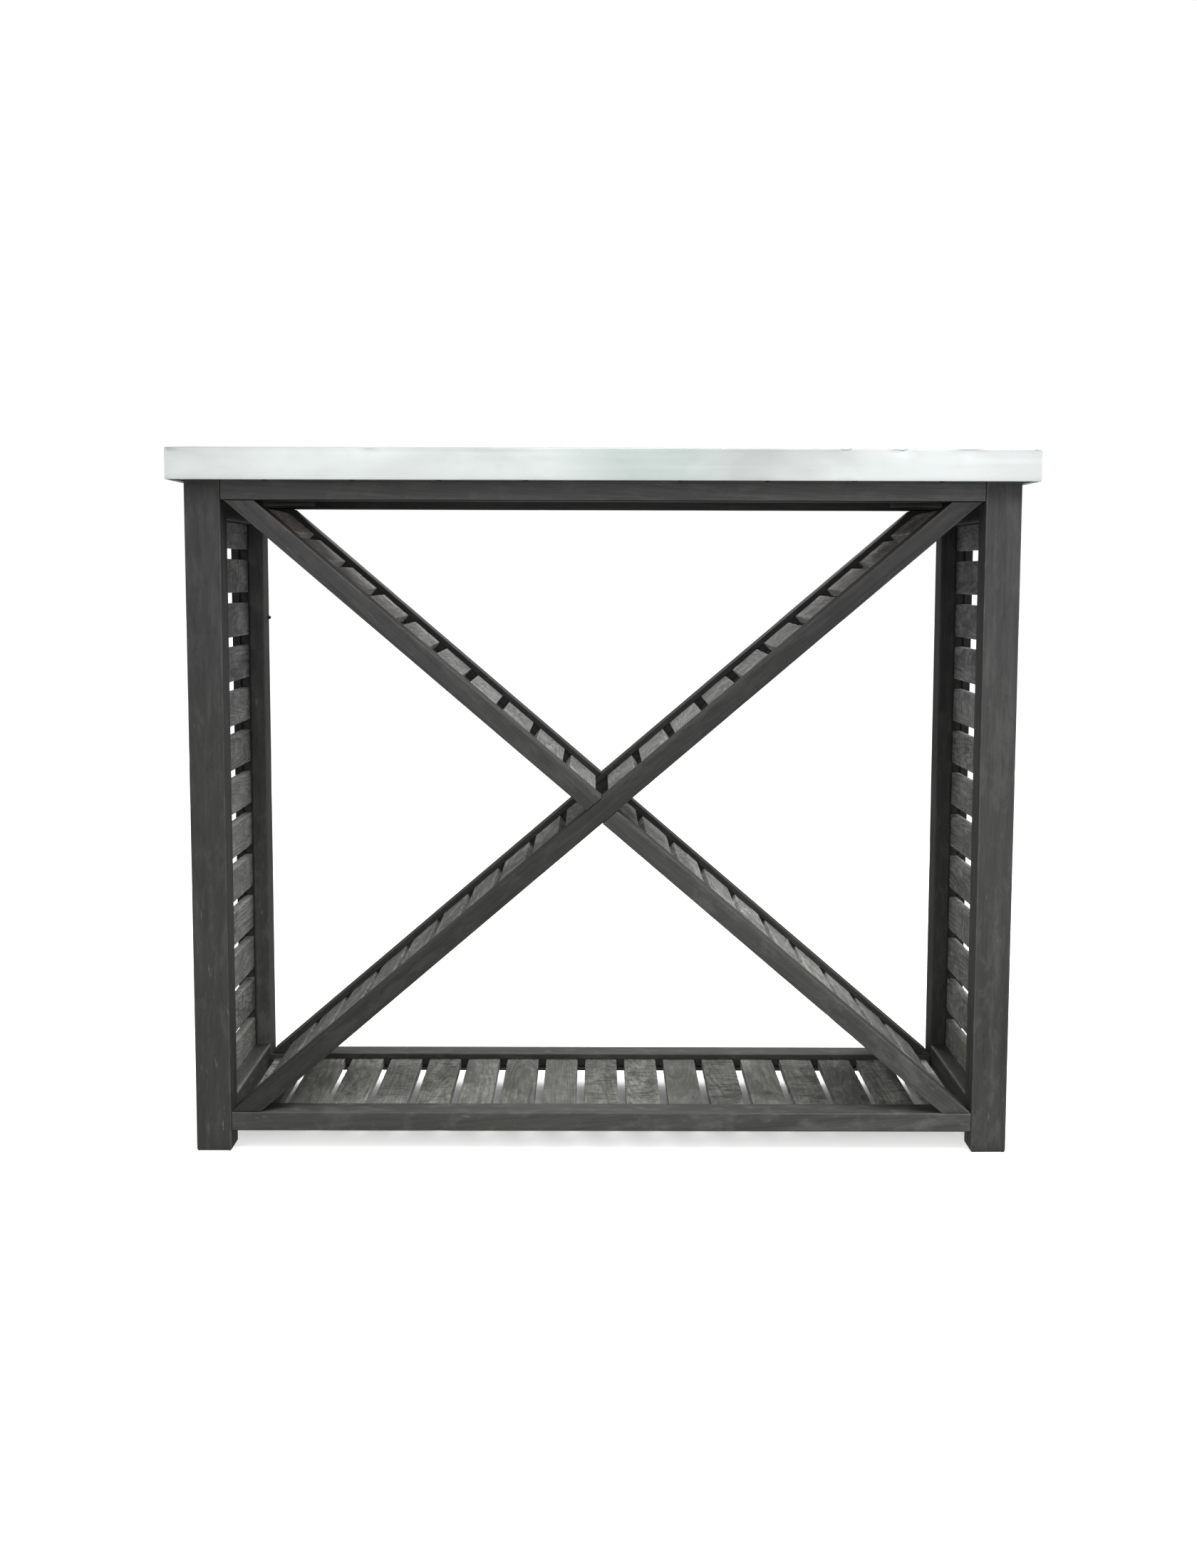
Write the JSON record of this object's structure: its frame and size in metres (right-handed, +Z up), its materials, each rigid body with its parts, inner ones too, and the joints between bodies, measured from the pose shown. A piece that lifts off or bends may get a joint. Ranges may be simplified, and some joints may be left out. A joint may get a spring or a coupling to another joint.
{
  "type": "potting bench",
  "caption": "Free-standing timber potting bench with a zinc-covered worktop, slatted ends, a low slatted shelf and crossed slatted boards that divide the space below into bays.",
  "frame": {"origin": "on the floor under the middle of the bench", "axes": "+X to the right along the bench's length, -Y out of its front, +Z up"},
  "size_m": [1.088, 0.39, 0.9],
  "materials": {
    "frame_timber": "charcoal stained, planed",
    "slat_timber": "charcoal stained, brushed and rubbed",
    "zinc": "pale galvanised sheet, satin",
    "top_board": "bare board under the zinc",
    "screw_steel": "dark"
  },
  "bodies": {
    "root": {"worktop_zinc_cover": "zinc", "worktop_board": "top_board", "leg_front_left": "frame_timber", "leg_front_right": "frame_timber", "leg_rear_left": "frame_timber", "leg_rear_right": "frame_timber", "apron_front": "frame_timber", "apron_rear": "frame_timber", "shelf_rail_front": "frame_timber", "shelf_rail_rear": "frame_timber", "side_top_rail_left": "frame_timber", "side_top_rail_right": "frame_timber", "side_bottom_rail_left": "frame_timber", "side_bottom_rail_right": "frame_timber", "brace_front_rising": "frame_timber", "brace_front_upper_left": "frame_timber", "brace_front_lower_right": "frame_timber", "brace_rear_rising": "frame_timber", "brace_rear_upper_left": "frame_timber", "brace_rear_lower_right": "frame_timber", "top_block_front_left": "frame_timber", "top_block_front_right": "frame_timber", "top_block_rear_left": "frame_timber", "top_block_rear_right": "frame_timber", "side_slat_left_01": "slat_timber", "side_slat_left_02": "slat_timber", "side_slat_left_03": "slat_timber", "side_slat_left_04": "slat_timber", "side_slat_left_05": "slat_timber", "side_slat_left_06": "slat_timber", "side_slat_left_07": "slat_timber", "side_slat_left_08": "slat_timber", "side_slat_left_09": "slat_timber", "side_slat_left_10": "slat_timber", "side_slat_left_11": "slat_timber", "side_slat_left_12": "slat_timber", "side_slat_left_13": "slat_timber", "side_slat_right_01": "slat_timber", "side_slat_right_02": "slat_timber", "side_slat_right_03": "slat_timber", "side_slat_right_04": "slat_timber", "side_slat_right_05": "slat_timber", "side_slat_right_06": "slat_timber", "side_slat_right_07": "slat_timber", "side_slat_right_08": "slat_timber", "side_slat_right_09": "slat_timber", "side_slat_right_10": "slat_timber", "side_slat_right_11": "slat_timber", "side_slat_right_12": "slat_timber", "side_slat_right_13": "slat_timber", "shelf_slats": "slat_timber", "brace_slats_upper_left": "slat_timber", "brace_slats_upper_right": "slat_timber", "brace_slats_lower_left": "slat_timber", "brace_slats_lower_right": "slat_timber", "leg_screw": "screw_steel"}
  },
  "joints": []
}
